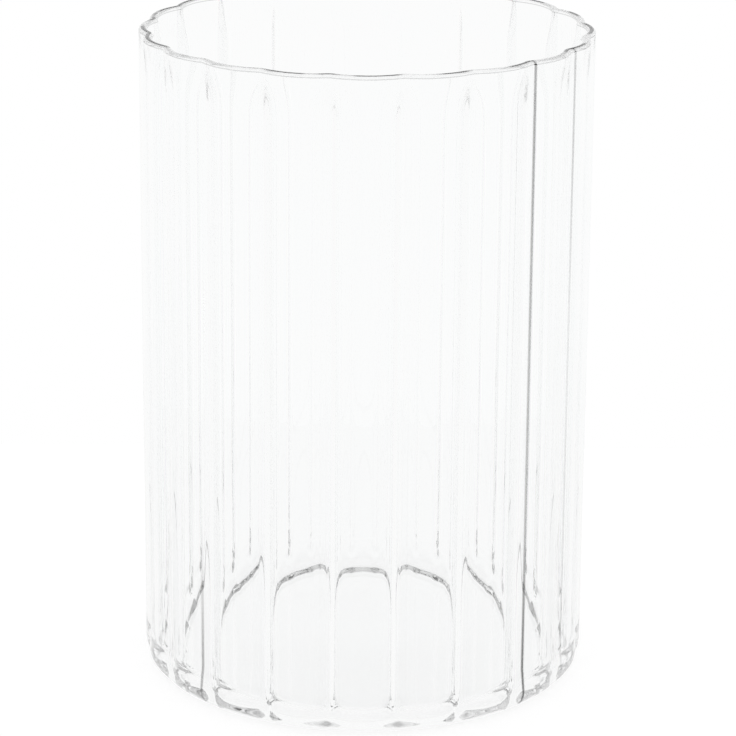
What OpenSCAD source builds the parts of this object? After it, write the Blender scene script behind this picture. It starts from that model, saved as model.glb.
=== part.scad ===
/* [Glass] */
// Height from the table to the top of the rim
glass_h = 91; // [70:1:130]
// Diameter across the crests of the flutes
glass_d = 62; // [56:1:84]
// Thickness of the wall between the ribs
wall = 1.2; // [1:0.1:2]

/* [Flutes] */
// Number of flutes round the glass
flute_count = 20; // [16:1:24]
// Depth of the grooves below the crests
flute_depth = 0.8; // [0.6:0.05:1.3]
// Radius in the bottom of a groove, outside
groove_r = 0.8; // [0.5:0.1:1.4]
// Height of the rib that stands inside behind every groove
rib_h = 1.3; // [0.6:0.1:1.6]
// Width of a rib at half its height
rib_w = 2.1; // [1.6:0.1:3]

/* [Rim] */
// Height of the fire-polished band in which the ribs melt into the round lip
rim_h = 3; // [2:0.5:8]

/* [Heel] */
// Height from the table at which the flutes start to melt into the round heel
heel_h = 6; // [6:0.5:12]
// Radius of the heel outside, where it turns onto the table
heel_r = 3; // [2:0.25:3.5]
// Radius inside, between the floor and the wall, where the ribs melt away
corner_r = 4.5; // [2:0.5:5]
// Width of the flat ring under the heel
foot_w = 3; // [3:0.5:5]
// Width of the flat floor that the heel keeps inside its corner
seat_w = 0.5; // [0.5:0.25:1.5]

/* [Floor] */
// Thickness of the floor
floor_t = 1; // [0.8:0.1:1.6]
// Width of the flat ring under the floor, round its hollow
stand_w = 2; // [1:0.5:6]
// Depth of the shallow hollow under the floor, at its middle
hollow_depth = 0.3; // [0.2:0.1:0.6]

/* [Hidden] */

// Facets along one crest, along one groove and along one rounded edge
crest_steps = 8;
groove_steps = 4;
lip_steps = 6;
fade_steps = 4;
heel_steps = 6;
corner_steps = 5;
hollow_steps = 8;
columns = flute_count * (crest_steps + groove_steps);

// How far a cut runs past the face that it starts from
cut = 1;

// Each crest is an arc that runs into the groove arcs beside it without a corner
glass_r = glass_d / 2;
inside_r = glass_r - wall;
bend_r = min(corner_r, heel_h - floor_t - 0.5);
floor_r = min(glass_r - heel_r - foot_w, inside_r - bend_r - seat_w);
hollow_r = floor_r - stand_w;
half_pitch = 180 / flute_count;
groove_c = glass_r - flute_depth + groove_r;
crest_r = (pow(glass_r, 2) + pow(groove_c, 2) - pow(groove_r, 2)
           - 2 * glass_r * groove_c * cos(half_pitch))
          / (2 * (glass_r + groove_r - groove_c * cos(half_pitch)));
crest_c = glass_r - crest_r;
crest_half = atan2(groove_c * sin(half_pitch), groove_c * cos(half_pitch) - crest_c);
groove_half = crest_half - half_pitch;

function turned(p, a) = [p.x * cos(a) - p.y * sin(a), p.x * sin(a) + p.y * cos(a)];

// The points crowd towards the grooves, where the outline turns
function crest_point(share, inset) =
  let (a = -crest_half * cos(180 * share))
  [crest_c + (crest_r - inset) * cos(a), (crest_r - inset) * sin(a)];

function groove_point(share, inset) =
  let (a = 180 + groove_half * (1 - 2 * share))
  turned([groove_c + (groove_r + inset) * cos(a), (groove_r + inset) * sin(a)], half_pitch);

// The fluted outline, set in from the outer surface by inset
function outline(inset) = [
  for (k = [0 : flute_count - 1])
    for (j = [0 : crest_steps + groove_steps - 1])
      turned(j < crest_steps ? crest_point(j / crest_steps, inset)
                             : groove_point((j - crest_steps) / groove_steps, inset),
             2 * half_pitch * k)
];

// The inner outline: behind every groove stands a rib of the given height, whose
// flanks run out smoothly into the wall
function ribbed(height) = [
  for (p = outline(wall))
    let (turn = atan2(p.y, p.x) / half_pitch,
         off = abs(turn - 2 * floor(turn / 2) - 1),
         away = off * half_pitch * PI / 180 * inside_r,
         rib = height / (1 + pow(2 * away / rib_w, 2)))
    p * (1 - rib / norm(p))
];

// A ring whose flutes are melted by melt, from 0 to 1, into a circle, and that is
// moved in so that what stood at the radius top stands at the radius crest_at
function melted(ring, top, melt, crest_at) = [
  for (p = ring)
    let (drop = (top - norm(p)) * (1 - melt))
    p / norm(p) * (crest_at - drop)
];

function raised(ring, z) = [for (p = ring) [p.x, p.y, z]];

// Closed skin over a list of rings that run once round a cross-section of the wall
module hoop(rings) {
  n = len(rings);
  points = [for (ring = rings) each ring];
  faces = [
    for (i = [0 : n - 1])
      for (c = [0 : columns - 1])
        let (a = i * columns + c,
             b = i * columns + (c + 1) % columns,
             d = ((i + 1) % n) * columns + c,
             e = ((i + 1) % n) * columns + (c + 1) % columns)
        each [[a, b, e], [a, e, d]]
  ];
  polyhedron(points = points, faces = faces);
}

module rim() {
  lip_r = wall / 2;
  straight = rim_h - lip_r;
  lip = [for (i = [0 : lip_steps]) let (a = 180 * i / lip_steps)
           raised(outline(lip_r * (1 - cos(a))), straight + lip_r * sin(a))];
  fade = [for (i = [1 : fade_steps]) let (share = i / fade_steps)
            raised(ribbed(rib_h * (1 - cos(180 * share)) / 2), straight * (1 - share))];
  color("gainsboro", 0.5)
  translate([0, 0, glass_h - rim_h])
  hoop([raised(outline(0), 0), each lip, each fade]);
}

module fluted_wall() {
  color("gainsboro", 0.5)
  translate([0, 0, heel_h])
  linear_extrude(glass_h - rim_h - heel_h) difference() {
    polygon(outline(0));
    polygon(ribbed(rib_h));
  }
}

module heel() {
  // Outside, from the straight wall down to the table
  turn = [for (i = [0 : heel_steps]) let (a = 90 * i / heel_steps, z = heel_r * (1 - sin(a)))
            raised(melted(outline(0), glass_r, 1 - z / heel_h,
                          glass_r - heel_r * (1 - cos(a))), z)];
  // Inside, from the floor's circle up to the straight wall, while the ribs rise
  corner = [for (i = [0 : corner_steps]) let (a = 90 * i / corner_steps)
              raised(melted(ribbed(rib_h), inside_r, pow(1 - i / corner_steps, 1.25),
                            inside_r - bend_r * (1 - sin(a))),
                     floor_t + bend_r * (1 - cos(a)))];
  disc = melted(outline(0), glass_r, 1, floor_r);
  color("gainsboro", 0.5)
  hoop([raised(outline(0), heel_h), each turn, raised(disc, 0), raised(disc, floor_t),
        each corner, raised(ribbed(rib_h), heel_h)]);
}

module floor() {
  // The hollow runs out flat at its edge and is flat at its middle
  dome = [for (i = [0 : hollow_steps]) let (share = i / hollow_steps)
            [hollow_r * share, hollow_depth * pow(1 - pow(share, 2), 2)]];
  color("gainsboro", 0.5)
  difference() {
    linear_extrude(floor_t) polygon(melted(outline(0), glass_r, 1, floor_r));
    rotate_extrude($fn = 180)
      polygon([[0, -cut], each dome, [hollow_r, -cut]]);
  }
}

rim();
fluted_wall();
heel();
floor();
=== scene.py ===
"""A clear fluted chai glass on a white table, made as a small Blender add-on.

The glass is drawn as half of one flute, from under its floor, up the outside, over the lip
and down the inside. It is mirrored into a whole flute and spun into the whole glass.
"""
import math
from collections import Counter, namedtuple

import bmesh
import bpy
from mathutils import Matrix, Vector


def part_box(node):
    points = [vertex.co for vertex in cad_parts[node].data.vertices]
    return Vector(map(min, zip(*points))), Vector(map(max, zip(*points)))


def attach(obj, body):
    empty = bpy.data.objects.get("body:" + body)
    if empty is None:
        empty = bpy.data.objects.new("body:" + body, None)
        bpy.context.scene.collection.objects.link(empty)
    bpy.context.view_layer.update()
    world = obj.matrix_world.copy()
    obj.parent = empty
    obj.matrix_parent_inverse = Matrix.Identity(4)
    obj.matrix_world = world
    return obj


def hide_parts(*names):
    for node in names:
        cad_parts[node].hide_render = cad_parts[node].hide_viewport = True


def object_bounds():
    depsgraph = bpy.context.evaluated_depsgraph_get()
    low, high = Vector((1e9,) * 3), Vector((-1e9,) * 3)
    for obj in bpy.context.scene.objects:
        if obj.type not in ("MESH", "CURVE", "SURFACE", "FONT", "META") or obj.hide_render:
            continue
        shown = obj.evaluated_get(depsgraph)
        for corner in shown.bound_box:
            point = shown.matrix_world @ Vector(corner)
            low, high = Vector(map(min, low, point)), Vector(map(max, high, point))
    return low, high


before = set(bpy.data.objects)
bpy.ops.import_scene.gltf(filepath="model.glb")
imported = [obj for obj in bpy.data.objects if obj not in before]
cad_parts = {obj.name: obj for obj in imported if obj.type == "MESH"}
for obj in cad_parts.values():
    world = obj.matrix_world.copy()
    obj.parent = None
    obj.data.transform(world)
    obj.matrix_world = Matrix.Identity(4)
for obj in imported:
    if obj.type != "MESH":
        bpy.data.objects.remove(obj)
CAD_LOW, CAD_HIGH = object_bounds()
RIM_LOW, RIM_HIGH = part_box("rim")
HEEL_LOW, HEEL_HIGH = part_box("heel")
FLOOR_LOW, FLOOR_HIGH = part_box("floor")

# The width of the flat ring under the floor, round its hollow
STAND_WIDTH = 0.002

# The height in which the ribs melt away, as a share of the height of the rim
RIB_FADE_SHARE = 2.2

bl_info = {
    "name": "Fluted Chai Glass",
    "version": (1, 0, 0),
    "blender": (4, 5, 0),
    "location": "3D View > Sidebar > Chai Glass",
    "description": "Makes a clear fluted tea glass and the white studio it stands in",
    "category": "Add Mesh",
}


class GlassShape(bpy.types.PropertyGroup):
    """Sizes of the blown glass."""

    height: bpy.props.FloatProperty(
        name="Height",
        description="From the table to the top of the lip",
        default=CAD_HIGH.z - CAD_LOW.z, min=0.05, max=0.15, unit="LENGTH")
    width: bpy.props.FloatProperty(
        name="Width",
        description="Across the crests of the flutes",
        default=CAD_HIGH.x - CAD_LOW.x, min=0.05, max=0.09, unit="LENGTH")
    wall: bpy.props.FloatProperty(
        name="Wall",
        description="Thickness of the wall between the ribs",
        default=0.0012, min=0.0008, max=0.003, unit="LENGTH")
    flutes: bpy.props.IntProperty(
        name="Flutes",
        description="Number of flutes round the glass",
        default=20, min=12, max=32)
    flute_depth: bpy.props.FloatProperty(
        name="Flute Depth",
        description="Depth of the grooves below the crests",
        default=0.0008, min=0.0003, max=0.002, unit="LENGTH")
    groove_radius: bpy.props.FloatProperty(
        name="Groove Radius",
        description="Radius in the bottom of a groove, outside",
        default=0.0008, min=0.0003, max=0.002, unit="LENGTH")
    rib_height: bpy.props.FloatProperty(
        name="Rib Height",
        description="Height of the rib that stands inside behind every groove",
        default=0.0011, min=0.0, max=0.002, unit="LENGTH")
    rib_width: bpy.props.FloatProperty(
        name="Rib Width",
        description="Width of a rib at half its height",
        default=0.0021, min=0.001, max=0.004, unit="LENGTH")
    rib_fade: bpy.props.FloatProperty(
        name="Rib Fade",
        description="Height below the top of the lip in which the ribs melt away",
        default=RIB_FADE_SHARE * (RIM_HIGH.z - RIM_LOW.z), min=0.002, max=0.02, unit="LENGTH")
    heel_height: bpy.props.FloatProperty(
        name="Heel Height",
        description="Height at which the flutes start to melt into the round heel",
        default=HEEL_HIGH.z - HEEL_LOW.z, min=0.004, max=0.015, unit="LENGTH")
    heel_radius: bpy.props.FloatProperty(
        name="Heel Radius",
        description="Radius of the heel outside, where it turns onto the table",
        default=0.003, min=0.001, max=0.006, unit="LENGTH")
    corner_radius: bpy.props.FloatProperty(
        name="Corner Radius",
        description="Radius inside, between the floor and the wall",
        default=0.0045, min=0.0005, max=0.005, unit="LENGTH")
    floor_thickness: bpy.props.FloatProperty(
        name="Floor Thickness",
        description="Thickness of the floor at its edge",
        default=FLOOR_HIGH.z - FLOOR_LOW.z, min=0.0008, max=0.005, unit="LENGTH")
    hollow_width: bpy.props.FloatProperty(
        name="Hollow Width",
        description="Width of the shallow hollow under the floor",
        default=FLOOR_HIGH.x - FLOOR_LOW.x - 2 * STAND_WIDTH, min=0.01, max=0.06, unit="LENGTH")
    hollow_depth: bpy.props.FloatProperty(
        name="Hollow Depth",
        description="Depth of the hollow at its middle",
        default=0.0003, min=0.0, max=0.001, unit="LENGTH")


class GlassFinish(bpy.types.PropertyGroup):
    """How the glass looks."""

    refraction: bpy.props.FloatProperty(
        name="Refraction",
        description="Refractive index of the glass",
        default=1.47, min=1.3, max=1.7)
    tint: bpy.props.FloatVectorProperty(
        name="Tint",
        description="Colour that the glass gives the light",
        default=(0.995, 0.998, 0.998), min=0.0, max=1.0, subtype="COLOR")
    ripple_height: bpy.props.FloatProperty(
        name="Ripple Height",
        description="Height of the faint ripples in the blown glass",
        default=0.000004, min=0.0, max=0.0001, precision=6, unit="LENGTH")
    # The line in the grooves is painted: a dark reflection drawn into the glass's colour
    line_width: bpy.props.FloatProperty(
        name="Line Width",
        description="Width of the grey line in a groove",
        default=0.0004, min=0.0001, max=0.001, unit="LENGTH")
    line_shade: bpy.props.FloatProperty(
        name="Line Shade",
        description="How much light the darkest line in the grooves takes",
        default=0.95, min=0.0, max=1.0, subtype="FACTOR")
    # The lines on the lip are painted: dark reflections drawn into the glass's colour
    lip_shade: bpy.props.FloatProperty(
        name="Lip Shade",
        description="How much light the dark line on the crown of the lip takes",
        default=0.97, min=0.0, max=1.0, subtype="FACTOR")


class StudioLook(bpy.types.PropertyGroup):
    """The white studio."""

    table_through_glass: bpy.props.FloatProperty(
        name="Table Through Glass",
        description="How bright the table looks through the glass",
        default=0.965, min=0.0, max=1.0, subtype="FACTOR")
    table_shade: bpy.props.FloatProperty(
        name="Table Shade",
        description="How much of the table's own shading shows through the glass",
        default=0.04, min=0.0, max=1.0, subtype="FACTOR")
    table_behind: bpy.props.FloatProperty(
        name="Table Behind",
        description="How far the table reaches behind the middle of the glass",
        default=0.09, min=0.05, max=1.0, unit="LENGTH")
    backdrop_through_glass: bpy.props.FloatProperty(
        name="Backdrop Through Glass",
        description="How bright the backdrop looks through the glass",
        default=0.975, min=0.0, max=1.0, subtype="FACTOR")
    wall_top: bpy.props.FloatProperty(
        name="Wall Top",
        description="How bright the walls are at their top",
        default=0.7, min=0.0, max=1.0, subtype="FACTOR")
    ceiling: bpy.props.FloatProperty(
        name="Ceiling",
        description="How bright the ceiling is between the lamps",
        default=0.0, min=0.0, max=1.0, subtype="FACTOR")
    overhead_lamp: bpy.props.FloatProperty(
        name="Overhead Lamp",
        description="How bright the wide lamp right above the glass is",
        default=0.6, min=0.0, max=1.0, subtype="FACTOR")
    back_lamp: bpy.props.FloatProperty(
        name="Back Lamp",
        description="How bright the wide lamp high behind the glass is",
        default=1.0, min=0.0, max=1.0, subtype="FACTOR")
    back_lamp_turn: bpy.props.FloatProperty(
        name="Back Lamp Turn",
        description="Direction of the lamp behind the glass, from straight behind it",
        default=math.radians(-12), min=-math.pi, max=math.pi, unit="ROTATION")


# One ring of the skin: its height, how far it is set in from the outer outline, how much of
# the flutes is melted away, from 0 to 1, how far a crest reaches, and how high its ribs are
Ring = namedtuple("Ring", "z inset melt reach rib")

# Rings along each stretch of the skin
HOLLOW_RINGS = 9
HEEL_RINGS = 12
FLUTE_RINGS = 6
LIP_RINGS = 16
FADE_RINGS = 18
CORNER_RINGS = 12

# How far the innermost ring, which is drawn together into the pole, and the rings over the
# floor reach, as shares of the flat part
POLE_SHARE = 0.08
FLOOR_SHARES = (1, 0.6, 0.3, POLE_SHARE)

# The flat width between the corner and the rings over the floor, and the least height that
# is left above the corner
SEAT = 0.0005

# How slowly the ribs melt away in the corner
CORNER_MELT = 1.25

# Parts of half a flute, from the crest to the groove, and the steps in each
SWEEP = ((1 / 2, 6), (1 / 3, 8), (1 / 6, 8))

# Points closer together than this are one point
MERGE = 5e-7


class Flute:
    """The outline of one flute: a crest arc that runs into half a groove on either side."""

    def __init__(self, shape):
        self.top = shape.width / 2
        self.wall = shape.wall
        self.half = math.pi / shape.flutes
        self.rib_width = shape.rib_width
        self.groove_radius = shape.groove_radius
        self.groove_middle = self.top - shape.flute_depth + self.groove_radius
        across = self.groove_middle * math.cos(self.half)
        self.crest_radius = (
            (self.top ** 2 + self.groove_middle ** 2 - self.groove_radius ** 2
             - 2 * self.top * across)
            / (2 * (self.top + self.groove_radius - across)))
        self.crest_middle = self.top - self.crest_radius
        self.joint = math.atan2(
            self.groove_middle * math.sin(self.half), across - self.crest_middle)

    def reach(self, angle, inset):
        """Distance of the outline from the axis, at an angle from the middle of a crest."""
        radius = self.crest_radius - inset
        joint = math.atan2(
            radius * math.sin(self.joint), self.crest_middle + radius * math.cos(self.joint))
        if angle <= joint:
            side = self.crest_middle * math.sin(angle)
            return self.crest_middle * math.cos(angle) + math.sqrt(radius ** 2 - side ** 2)
        off = self.half - angle
        side = self.groove_middle * math.sin(off)
        return (self.groove_middle * math.cos(off)
                - math.sqrt((self.groove_radius + inset) ** 2 - side ** 2))

    def ring_reach(self, angle, ring):
        """The same for one ring of the skin, with its flutes melted and its rib added."""
        reach = self.reach(angle, ring.inset)
        if ring.rib:
            away = (self.half - angle) * (self.top - self.wall)
            reach -= ring.rib / (1 + (2 * away / self.rib_width) ** 2)
        return ring.reach - (self.top - ring.inset - reach) * (1 - ring.melt)


def rings_of(shape):
    """The rings of the skin, from under the floor out, up, over the lip, down and in."""
    top = shape.width / 2
    inside = top - shape.wall
    hollow = shape.hollow_width / 2
    lip = shape.wall / 2
    lip_z = shape.height - lip
    corner = min(shape.corner_radius, shape.heel_height - shape.floor_thickness - SEAT)
    corner_z = shape.floor_thickness + corner
    rings = []

    # Under the floor: the hollow, flat at its middle and at its edge, then the resting ring
    for step in range(HOLLOW_RINGS + 1):
        share = POLE_SHARE + (1 - POLE_SHARE) * step / HOLLOW_RINGS
        z = shape.hollow_depth * (1 - share ** 2) ** 2
        rings.append(Ring(z, 0, 1, hollow * share, 0))
    rings.append(Ring(0, 0, 1, top - shape.heel_radius, 0))

    # The heel turns up from the table, and the flutes grow out of its circle
    for step in range(1, HEEL_RINGS + 1):
        turn = math.pi / 2 * step / HEEL_RINGS
        z = shape.heel_radius * (1 - math.cos(turn))
        reach = top - shape.heel_radius * (1 - math.sin(turn))
        rings.append(Ring(z, 0, 1 - z / shape.heel_height, reach, 0))
    for step in range(1, FLUTE_RINGS + 1):
        rise = (shape.heel_height - shape.heel_radius) * step / FLUTE_RINGS
        z = shape.heel_radius + rise
        rings.append(Ring(z, 0, 1 - z / shape.heel_height, top, 0))

    # The straight outside, the round lip, and the ribs that come out of it inside
    for step in range(LIP_RINGS + 1):
        turn = math.pi * step / LIP_RINGS
        inset = lip * (1 - math.cos(turn))
        rings.append(Ring(lip_z + lip * math.sin(turn), inset, 0, top - inset, 0))
    fade = shape.rib_fade - lip
    for step in range(1, FADE_RINGS + 1):
        share = step / FADE_RINGS
        rib = shape.rib_height * (1 - math.cos(math.pi * share)) / 2
        rings.append(Ring(lip_z - fade * share, shape.wall, 0, inside, rib))

    # Down the inside, round the corner in which the ribs melt away, and in over the floor
    for step in range(CORNER_RINGS + 1):
        turn = math.pi / 2 * step / CORNER_RINGS
        z = corner_z - corner * math.sin(turn)
        reach = inside - corner * (1 - math.cos(turn))
        melt = (step / CORNER_RINGS) ** CORNER_MELT
        rings.append(Ring(z, shape.wall, melt, reach, shape.rib_height))
    floor_edge = inside - corner - SEAT
    for share in FLOOR_SHARES:
        rings.append(Ring(shape.floor_thickness, shape.wall, 1, floor_edge * share, 0))
    return rings


def edited_mesh():
    """The mesh that is being edited."""
    return bmesh.from_edit_mesh(bpy.context.edit_object.data)


def pick(test):
    """Select only the vertices whose place passes a test."""
    bpy.ops.mesh.select_all(action="DESELECT")
    mesh = edited_mesh()
    for vert in mesh.verts:
        vert.select_set(test(vert.co))
    mesh.select_flush_mode()


def start_point(reach, z):
    """A single vertex at the middle of a crest: a circle of which the rest is deleted."""
    bpy.ops.object.select_all(action="DESELECT")
    bpy.ops.mesh.primitive_circle_add(vertices=4, radius=reach, location=(0, 0, 0))
    bpy.ops.object.mode_set(mode="EDIT")
    bpy.ops.transform.translate(value=(0, 0, z))
    pick(lambda co: co.x < reach / 2)
    bpy.ops.mesh.delete(type="VERT")
    pick(lambda co: True)


def sweep_half_flute(half):
    """Spin the vertex from the crest to the groove, in finer steps where the rib will be."""
    for share, steps in SWEEP:
        bpy.ops.mesh.spin(
            steps=steps, angle=-half * share, center=(0, 0, 0), axis=(0, 0, 1))


def shape_ring(verts, flute, ring):
    """Move the vertices of the newest ring in or out, one by one, onto its outline."""
    for vert in verts:
        angle = abs(math.atan2(vert.co.y, vert.co.x))
        factor = flute.ring_reach(min(angle, flute.half), ring) / vert.co.xy.length
        bpy.ops.mesh.select_all(action="DESELECT")
        vert.select_set(True)
        bpy.ops.transform.resize(value=(factor, factor, 1), center_override=(0, 0, 0))


def extrude_ring(dz):
    """Extrude the last ring straight up or down, and return the new vertices."""
    bpy.ops.mesh.extrude_region_move(TRANSFORM_OT_translate={"value": (0, 0, dz)})
    return [vert for vert in edited_mesh().verts if vert.select]


def blow_half_flute(shape):
    """Half a flute of the skin, as an open sheet in edit mode."""
    flute = Flute(shape)
    rings = rings_of(shape)
    start_point(rings[0].reach, rings[0].z)
    sweep_half_flute(flute.half)
    pick(lambda co: True)
    last = rings[0]
    for ring in rings[1:]:
        verts = extrude_ring(ring.z - last.z)
        if ring._replace(z=last.z) != last:
            shape_ring(verts, flute, ring)
        bpy.ops.mesh.select_all(action="DESELECT")
        for vert in verts:
            vert.select_set(True)
        edited_mesh().select_flush(True)
        last = ring


def close_pole(test):
    """Draw the innermost ring whose place passes a test together into one point."""
    bpy.ops.mesh.select_all(action="DESELECT")
    bpy.ops.mesh.select_mode(type="VERT")
    bpy.ops.mesh.select_non_manifold(
        extend=False, use_wire=False, use_boundary=True, use_multi_face=False,
        use_non_contiguous=False, use_verts=False)
    mesh = edited_mesh()
    for vert in mesh.verts:
        if vert.select and not test(vert.co):
            vert.select_set(False)
    mesh.select_flush_mode()
    bpy.ops.mesh.merge(type="COLLAPSE")


def is_closed(mesh):
    """Whether every edge of the mesh has just two faces."""
    faces = Counter(key for polygon in mesh.polygons for key in polygon.edge_keys)
    return all(count == 2 for count in faces.values())


class CHAIGLASS_OT_glass(bpy.types.Operator):
    """Blow the fluted glass as one unbroken skin"""

    bl_idname = "chai_glass.make_glass"
    bl_label = "Make Glass"
    bl_options = {"REGISTER", "UNDO"}

    def execute(self, context):
        shape = context.scene.chai_glass_shape
        blow_half_flute(shape)
        bpy.ops.object.mode_set(mode="OBJECT")
        glass = context.object
        glass.name = "glass"
        glass.data.name = "glass"

        mirror = glass.modifiers.new("other_half", "MIRROR")
        mirror.use_axis = (False, True, False)
        mirror.use_clip = False
        mirror.merge_threshold = MERGE
        bpy.ops.object.modifier_apply(modifier=mirror.name)

        bpy.ops.object.mode_set(mode="EDIT")
        bpy.ops.mesh.select_all(action="SELECT")
        copies = shape.flutes - 1
        bpy.ops.mesh.spin(
            steps=copies, dupli=True, angle=math.tau * copies / shape.flutes,
            center=(0, 0, 0), axis=(0, 0, 1))
        bpy.ops.mesh.select_all(action="SELECT")
        bpy.ops.mesh.remove_doubles(threshold=MERGE)
        middle = (shape.hollow_depth + shape.floor_thickness) / 2
        close_pole(lambda co: co.z < middle)
        close_pole(lambda co: co.z > middle)
        bpy.ops.mesh.select_all(action="SELECT")
        bpy.ops.mesh.normals_make_consistent(inside=False)
        bpy.ops.object.mode_set(mode="OBJECT")
        bpy.ops.object.shade_smooth()
        if not is_closed(glass.data):
            raise RuntimeError("the skin of the glass isn't closed")

        glass.data.materials.append(clear_glass(shape, context.scene.chai_glass_finish))
        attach(glass, "root")
        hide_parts("rim", "fluted_wall", "heel", "floor")
        return {"FINISHED"}


def new_material(name):
    """An empty node material and its nodes and links."""
    material = bpy.data.materials.new(name)
    material.use_nodes = True
    tree = material.node_tree
    tree.nodes.clear()
    return material, tree.nodes, tree.links


def feed(links, socket, value):
    """Give a socket a plain number or the output of another node."""
    if isinstance(value, bpy.types.NodeSocket):
        links.new(value, socket)
    else:
        socket.default_value = value


def number(nodes, links, operation, first, second=0.0, third=0.0):
    """A maths node on numbers or on the outputs of other nodes."""
    node = nodes.new("ShaderNodeMath")
    node.operation = operation
    for socket, value in zip(node.inputs, (first, second, third)):
        feed(links, socket, value)
    return node.outputs["Value"]


def ramp(nodes, links, value, start, end):
    """A smooth step from 0 at start to 1 at end."""
    node = nodes.new("ShaderNodeMapRange")
    node.interpolation_type = "SMOOTHSTEP"
    node.inputs["From Min"].default_value = start
    node.inputs["From Max"].default_value = end
    links.new(value, node.inputs["Value"])
    return node.outputs["Result"]


def blend(nodes, links, share, low, high):
    """A number that goes from low to high as share goes from 0 to 1."""
    rise = number(nodes, links, "SUBTRACT", high, low)
    return number(nodes, links, "MULTIPLY_ADD", share, rise, low)


def near(nodes, links, value, middle, full, none):
    """1 up to the distance full from the middle, and 0 from the distance none on."""
    off = number(nodes, links, "SUBTRACT", value, middle)
    away = number(nodes, links, "ABSOLUTE", off)
    return number(nodes, links, "SUBTRACT", 1, ramp(nodes, links, away, full, none))


def mix_shaders(nodes, links, share, first, second):
    """A shader that goes from the first to the second as share goes from 0 to 1."""
    node = nodes.new("ShaderNodeMixShader")
    feed(links, node.inputs["Fac"], share)
    links.new(first, node.inputs[1])
    links.new(second, node.inputs[2])
    return node.outputs["Shader"]


def noise(nodes, links, place, scale):
    """Soft noise at a place, with so many waves to the metre."""
    node = nodes.new("ShaderNodeTexNoise")
    node.inputs["Scale"].default_value = scale
    node.inputs["Detail"].default_value = 1
    links.new(place, node.inputs["Vector"])
    return node.outputs["Fac"]


# A painted grey line in a groove, which stands in for a dark reflection: where it stands, to
# the right of the front, and its share of the full shade at its top, at half height and at its
# foot
Line = namedtuple("Line", "turn top middle foot")

# They stand on the flank of their groove that faces the front
PAINTED_GROOVE_LINES = (
    Line(math.radians(46.1), 0.85, 0.75, 1.0),
    Line(math.radians(64.6), 0.6, 0.3, 0.4),
    Line(math.radians(-46.1), 0.0, 0.0, 0.8))

# Heights between which a line turns from its foot to its middle, and on to its top
FOOT_TO_MIDDLE = (0.006, 0.03)
MIDDLE_TO_TOP = (0.05, 0.08)

# Where a line starts and ends to fade sideways, as shares of half its width
LINE_EDGE_SHARES = (0.4, 1.6)

# How far below the top of the lip its painted dark line starts and is full, where its painted
# pale lines are and where these start and end to fade, as shares of the lip's radius; all of
# them stand in for dark reflections in the round lip
CROWN_SHARES = (0.15, 1 / 12)
PALE_DEPTH_SHARE = 0.75
PALE_EDGE_SHARES = (0.05, 0.15)

# How dark the pale lines are beside the dark one
PALE_SHARE = 0.5

# Waves to the metre of the noise that breaks the dark line on the lip, and the levels
# of the noise between which the line comes out
DASH_WAVES = 150
DASH_LEVELS = (0.42, 0.52)

# Waves to the metre of the ripples, and how much they are drawn out upwards
RIPPLE_WAVES = 160
RIPPLE_STRETCH = 0.12


def painted_groove_shade(nodes, links, place, axes, shape, finish):
    """How much of the light the painted dark reflections in the grooves take, from 0 to 1."""
    level = nodes.new("ShaderNodeVectorMath")
    level.operation = "MULTIPLY"
    level.inputs[1].default_value = (1, 1, 0)
    links.new(place, level.inputs[0])
    reach = nodes.new("ShaderNodeVectorMath")
    reach.operation = "LENGTH"
    links.new(level.outputs["Vector"], reach.inputs[0])
    groove = shape.width / 2 - shape.flute_depth
    outside = ramp(
        nodes, links, reach.outputs["Value"], groove - shape.wall, groove - shape.wall / 2)

    front = number(nodes, links, "MULTIPLY", axes.outputs["Y"], -1)
    turn = number(nodes, links, "ARCTAN2", axes.outputs["X"], front)
    above_foot = ramp(nodes, links, axes.outputs["Z"], *FOOT_TO_MIDDLE)
    above_middle = ramp(nodes, links, axes.outputs["Z"], *MIDDLE_TO_TOP)
    # Half the width of a line, as an angle seen from the axis
    half = finish.line_width / shape.width
    edges = [half * share for share in LINE_EDGE_SHARES]
    total = 0.0
    for line in PAINTED_GROOVE_LINES:
        on_line = near(nodes, links, turn, line.turn, *edges)
        share = blend(nodes, links, above_foot, line.foot, line.middle)
        share = blend(nodes, links, above_middle, share, line.top)
        total = number(nodes, links, "MULTIPLY_ADD", on_line, share, total)
    shade = number(nodes, links, "MULTIPLY", total, finish.line_shade)
    return number(nodes, links, "MULTIPLY", shade, outside)


def painted_lip_shade(nodes, links, place, axes, shape, finish):
    """How much of the light the painted dark reflections on the lip take: a broken line on its
    crown and pale ones below.
    """
    lip = shape.wall / 2
    height = axes.outputs["Z"]
    crown = ramp(nodes, links, height, *[shape.height - lip * share for share in CROWN_SHARES])
    dashes = ramp(nodes, links, noise(nodes, links, place, DASH_WAVES), *DASH_LEVELS)
    dark = number(nodes, links, "MULTIPLY", crown, dashes)
    edges = [lip * share for share in PALE_EDGE_SHARES]
    pale = near(nodes, links, height, shape.height - lip * PALE_DEPTH_SHARE, *edges)
    both = number(nodes, links, "MULTIPLY_ADD", pale, PALE_SHARE, dark)
    return number(nodes, links, "MULTIPLY", both, finish.lip_shade)


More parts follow.
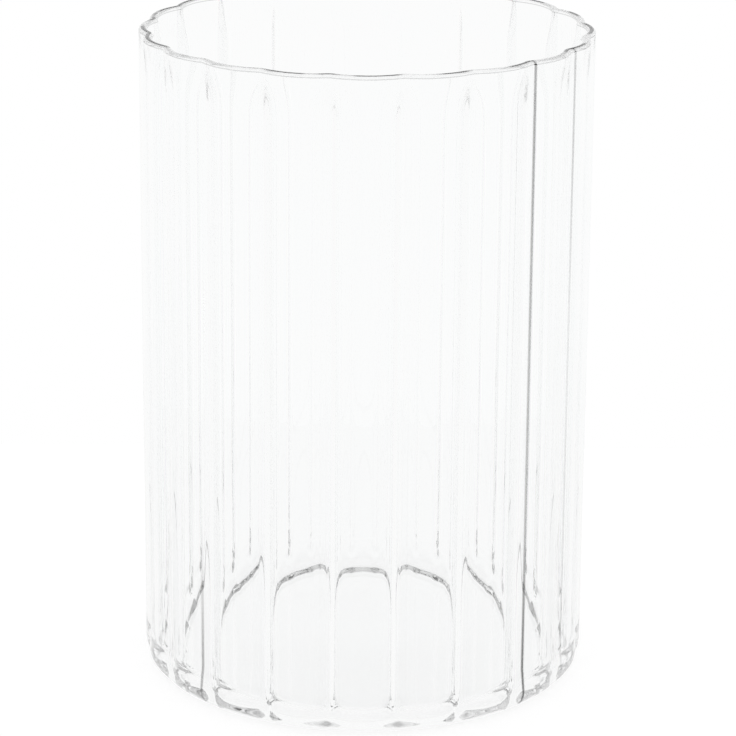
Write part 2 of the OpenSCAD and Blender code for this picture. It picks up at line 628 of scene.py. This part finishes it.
def clear_glass(shape, finish):
    """Clear glass with the faint ripples of blown glass and fine grey lines painted into its
    colour as dark reflections.
    """
    material, nodes, links = new_material("clear_glass")
    place = nodes.new("ShaderNodeTexCoord").outputs["Object"]
    axes = nodes.new("ShaderNodeSeparateXYZ")
    links.new(place, axes.inputs["Vector"])
    # Painted shade: the painted lines turn the glass's colour towards black, where dark
    # reflections would be
    shade = number(
        nodes, links, "ADD", painted_groove_shade(nodes, links, place, axes, shape, finish),
        painted_lip_shade(nodes, links, place, axes, shape, finish))
    colour = nodes.new("ShaderNodeMix")
    colour.data_type = "RGBA"
    colour.inputs["A"].default_value = (*finish.tint, 1)
    colour.inputs["B"].default_value = (0, 0, 0, 1)
    links.new(shade, colour.inputs["Factor"])

    stretch = nodes.new("ShaderNodeMapping")
    stretch.inputs["Scale"].default_value = (1, 1, RIPPLE_STRETCH)
    links.new(place, stretch.inputs["Vector"])
    ripple = noise(nodes, links, stretch.outputs["Vector"], RIPPLE_WAVES)
    bump = nodes.new("ShaderNodeBump")
    bump.inputs["Strength"].default_value = 1
    bump.inputs["Distance"].default_value = finish.ripple_height
    links.new(ripple, bump.inputs["Height"])

    shader = nodes.new("ShaderNodeBsdfPrincipled")
    shader.inputs["Roughness"].default_value = 0
    shader.inputs["IOR"].default_value = finish.refraction
    shader.inputs["Transmission Weight"].default_value = 1
    links.new(colour.outputs["Result"], shader.inputs["Base Color"])
    links.new(bump.outputs["Normal"], shader.inputs["Normal"])
    out = nodes.new("ShaderNodeOutputMaterial")
    links.new(shader.outputs["BSDF"], out.inputs["Surface"])
    return material


# The colour of the table, and the even white that the camera sees with it, and its share
CLOTH_COLOUR = (0.9, 0.9, 0.9, 1)
EVEN_WHITE = 1.08
EVEN_SHARE = 0.8

# The table's width, how far it reaches in front of the glass, and how far it is below the
# foot, so that the two faces don't lie in one plane
TABLE_WIDTH = 6.0
TABLE_FRONT = 3.0
TABLE_GAP = 0.0001


def even_white(nodes, strength):
    """A white that is the same everywhere."""
    white = nodes.new("ShaderNodeEmission")
    white.inputs["Color"].default_value = (1, 1, 1, 1)
    white.inputs["Strength"].default_value = strength
    return white.outputs["Emission"]


def white_table(look):
    """White for the camera but for the glass's faint shadow, and a plain white through it."""
    material, nodes, links = new_material("white_table")
    rays = nodes.new("ShaderNodeLightPath")
    cloth = nodes.new("ShaderNodeBsdfDiffuse")
    cloth.inputs["Color"].default_value = CLOTH_COLOUR
    shaded = cloth.outputs["BSDF"]
    seen = mix_shaders(nodes, links, EVEN_SHARE, shaded, even_white(nodes, EVEN_WHITE))
    inside = mix_shaders(
        nodes, links, 1 - look.table_shade, shaded, even_white(nodes, look.table_through_glass))
    through = number(
        nodes, links, "MAXIMUM", rays.outputs["Is Transmission Ray"],
        rays.outputs["Is Glossy Ray"])
    lit = mix_shaders(nodes, links, through, shaded, inside)
    surface = mix_shaders(nodes, links, rays.outputs["Is Camera Ray"], lit, seen)
    out = nodes.new("ShaderNodeOutputMaterial")
    links.new(surface, out.inputs["Surface"])
    return material


# The room's parts, by the sine of their height above the horizon, each with a soft edge:
# where the walls dim, where the ceiling starts and where the lamp right above starts
WALLS_DIM = (0.3, 0.5)
CEILING_EDGE = (0.58, 0.62)
OVERHEAD_EDGE = (0.83, 0.87)

# How far to either side of its middle the lamp behind the glass starts and ends to fade
BACK_LAMP_EDGE = (math.radians(15), math.radians(55))


def light_room(scene, look):
    """White walls that dim towards their top, and a dark ceiling with two wide lamps."""
    world = bpy.data.worlds.new("white_room")
    world.use_nodes = True
    scene.world = world
    nodes, links = world.node_tree.nodes, world.node_tree.links
    nodes.clear()
    place = nodes.new("ShaderNodeTexCoord")
    axes = nodes.new("ShaderNodeSeparateXYZ")
    links.new(place.outputs["Generated"], axes.inputs["Vector"])
    up = axes.outputs["Z"]
    turn = number(nodes, links, "ARCTAN2", axes.outputs["X"], axes.outputs["Y"])

    on_lamp = near(nodes, links, turn, look.back_lamp_turn, *BACK_LAMP_EDGE)
    behind = blend(nodes, links, on_lamp, look.ceiling, look.back_lamp)
    overhead = ramp(nodes, links, up, *OVERHEAD_EDGE)
    ceiling = blend(nodes, links, overhead, behind, look.overhead_lamp)
    dim = ramp(nodes, links, up, *WALLS_DIM)
    wall = blend(nodes, links, dim, look.backdrop_through_glass, look.wall_top)
    bright = blend(nodes, links, ramp(nodes, links, up, *CEILING_EDGE), wall, ceiling)

    rays = nodes.new("ShaderNodeLightPath")
    on_table = number(nodes, links, "MINIMUM", rays.outputs["Diffuse Depth"], 1)
    strength = number(
        nodes, links, "MAXIMUM", bright,
        number(nodes, links, "MAXIMUM", on_table, rays.outputs["Is Camera Ray"]))
    light = nodes.new("ShaderNodeBackground")
    light.inputs["Color"].default_value = (1, 1, 1, 1)
    out = nodes.new("ShaderNodeOutputWorld")
    links.new(strength, light.inputs["Strength"])
    links.new(light.outputs["Background"], out.inputs["Surface"])


# The camera: its lens in millimetres, its place, and how it pans, looks down and rolls
CAMERA_LENS = 162.78
CAMERA_PLACE = (0, -0.44361, 0.18321)
CAMERA_PAN = math.radians(-0.0585)
CAMERA_DOWN = math.radians(17.6)
CAMERA_ROLL = math.radians(0.44)


def lay_table(look):
    """A wide white table whose far edge is close behind the glass."""
    bpy.ops.object.select_all(action="DESELECT")
    bpy.ops.mesh.primitive_plane_add(size=1, location=(0, 0, 0))
    table = bpy.context.object
    table.name = "table"
    depth = TABLE_FRONT + look.table_behind
    bpy.ops.object.mode_set(mode="EDIT")
    bpy.ops.mesh.select_all(action="SELECT")
    bpy.ops.transform.resize(value=(TABLE_WIDTH, depth, 1), center_override=(0, 0, 0))
    bpy.ops.transform.translate(value=(0, look.table_behind - depth / 2, -TABLE_GAP))
    bpy.ops.object.mode_set(mode="OBJECT")
    table.data.materials.append(white_table(look))


def place_camera(scene):
    """The camera in front of the glass, a little above it."""
    lens = bpy.data.cameras.new("camera")
    lens.sensor_width = 36
    lens.lens = CAMERA_LENS
    lens.clip_start = 0.01
    lens.clip_end = 20
    camera = bpy.data.objects.new("camera", lens)
    scene.collection.objects.link(camera)
    turn = (Matrix.Rotation(CAMERA_PAN, 4, "Z")
            @ Matrix.Rotation(math.pi / 2 - CAMERA_DOWN, 4, "X")
            @ Matrix.Rotation(CAMERA_ROLL, 4, "Z"))
    camera.matrix_world = Matrix.Translation(CAMERA_PLACE) @ turn
    scene.camera = camera


class CHAIGLASS_OT_studio(bpy.types.Operator):
    """Lay the white table, light the room and place the camera"""

    bl_idname = "chai_glass.make_studio"
    bl_label = "Make Studio"
    bl_options = {"REGISTER", "UNDO"}

    def execute(self, context):
        scene = context.scene
        lay_table(scene.chai_glass_studio)
        light_room(scene, scene.chai_glass_studio)
        place_camera(scene)
        scene.view_settings.view_transform = "Standard"
        # Light turns many corners between the ribs before it leaves the glass
        scene.cycles.max_bounces = 512
        scene.cycles.transmission_bounces = 256
        scene.cycles.glossy_bounces = 256
        return {"FINISHED"}


class CHAIGLASS_PT_panel(bpy.types.Panel):
    """Sizes and finish of the glass, and the studio"""

    bl_idname = "CHAIGLASS_PT_panel"
    bl_label = "Chai Glass"
    bl_space_type = "VIEW_3D"
    bl_region_type = "UI"
    bl_category = "Chai Glass"

    def draw(self, context):
        scene = context.scene
        for title, group, maker in (
                ("Glass", scene.chai_glass_shape, CHAIGLASS_OT_glass),
                ("Finish", scene.chai_glass_finish, None),
                ("Studio", scene.chai_glass_studio, CHAIGLASS_OT_studio)):
            box = self.layout.box()
            box.label(text=title)
            for name in group.bl_rna.properties.keys():
                if name not in {"rna_type", "name"}:
                    box.prop(group, name)
            if maker:
                box.operator(maker.bl_idname)


CLASSES = (
    GlassShape, GlassFinish, StudioLook, CHAIGLASS_OT_glass, CHAIGLASS_OT_studio,
    CHAIGLASS_PT_panel)


def register():
    for cls in CLASSES:
        bpy.utils.register_class(cls)
    scene = bpy.types.Scene
    scene.chai_glass_shape = bpy.props.PointerProperty(type=GlassShape)
    scene.chai_glass_finish = bpy.props.PointerProperty(type=GlassFinish)
    scene.chai_glass_studio = bpy.props.PointerProperty(type=StudioLook)


def unregister():
    del bpy.types.Scene.chai_glass_studio
    del bpy.types.Scene.chai_glass_finish
    del bpy.types.Scene.chai_glass_shape
    for cls in reversed(CLASSES):
        bpy.utils.unregister_class(cls)


def main():
    register()
    bpy.ops.chai_glass.make_glass()
    bpy.ops.chai_glass.make_studio()


if __name__ == "__main__":
    main()
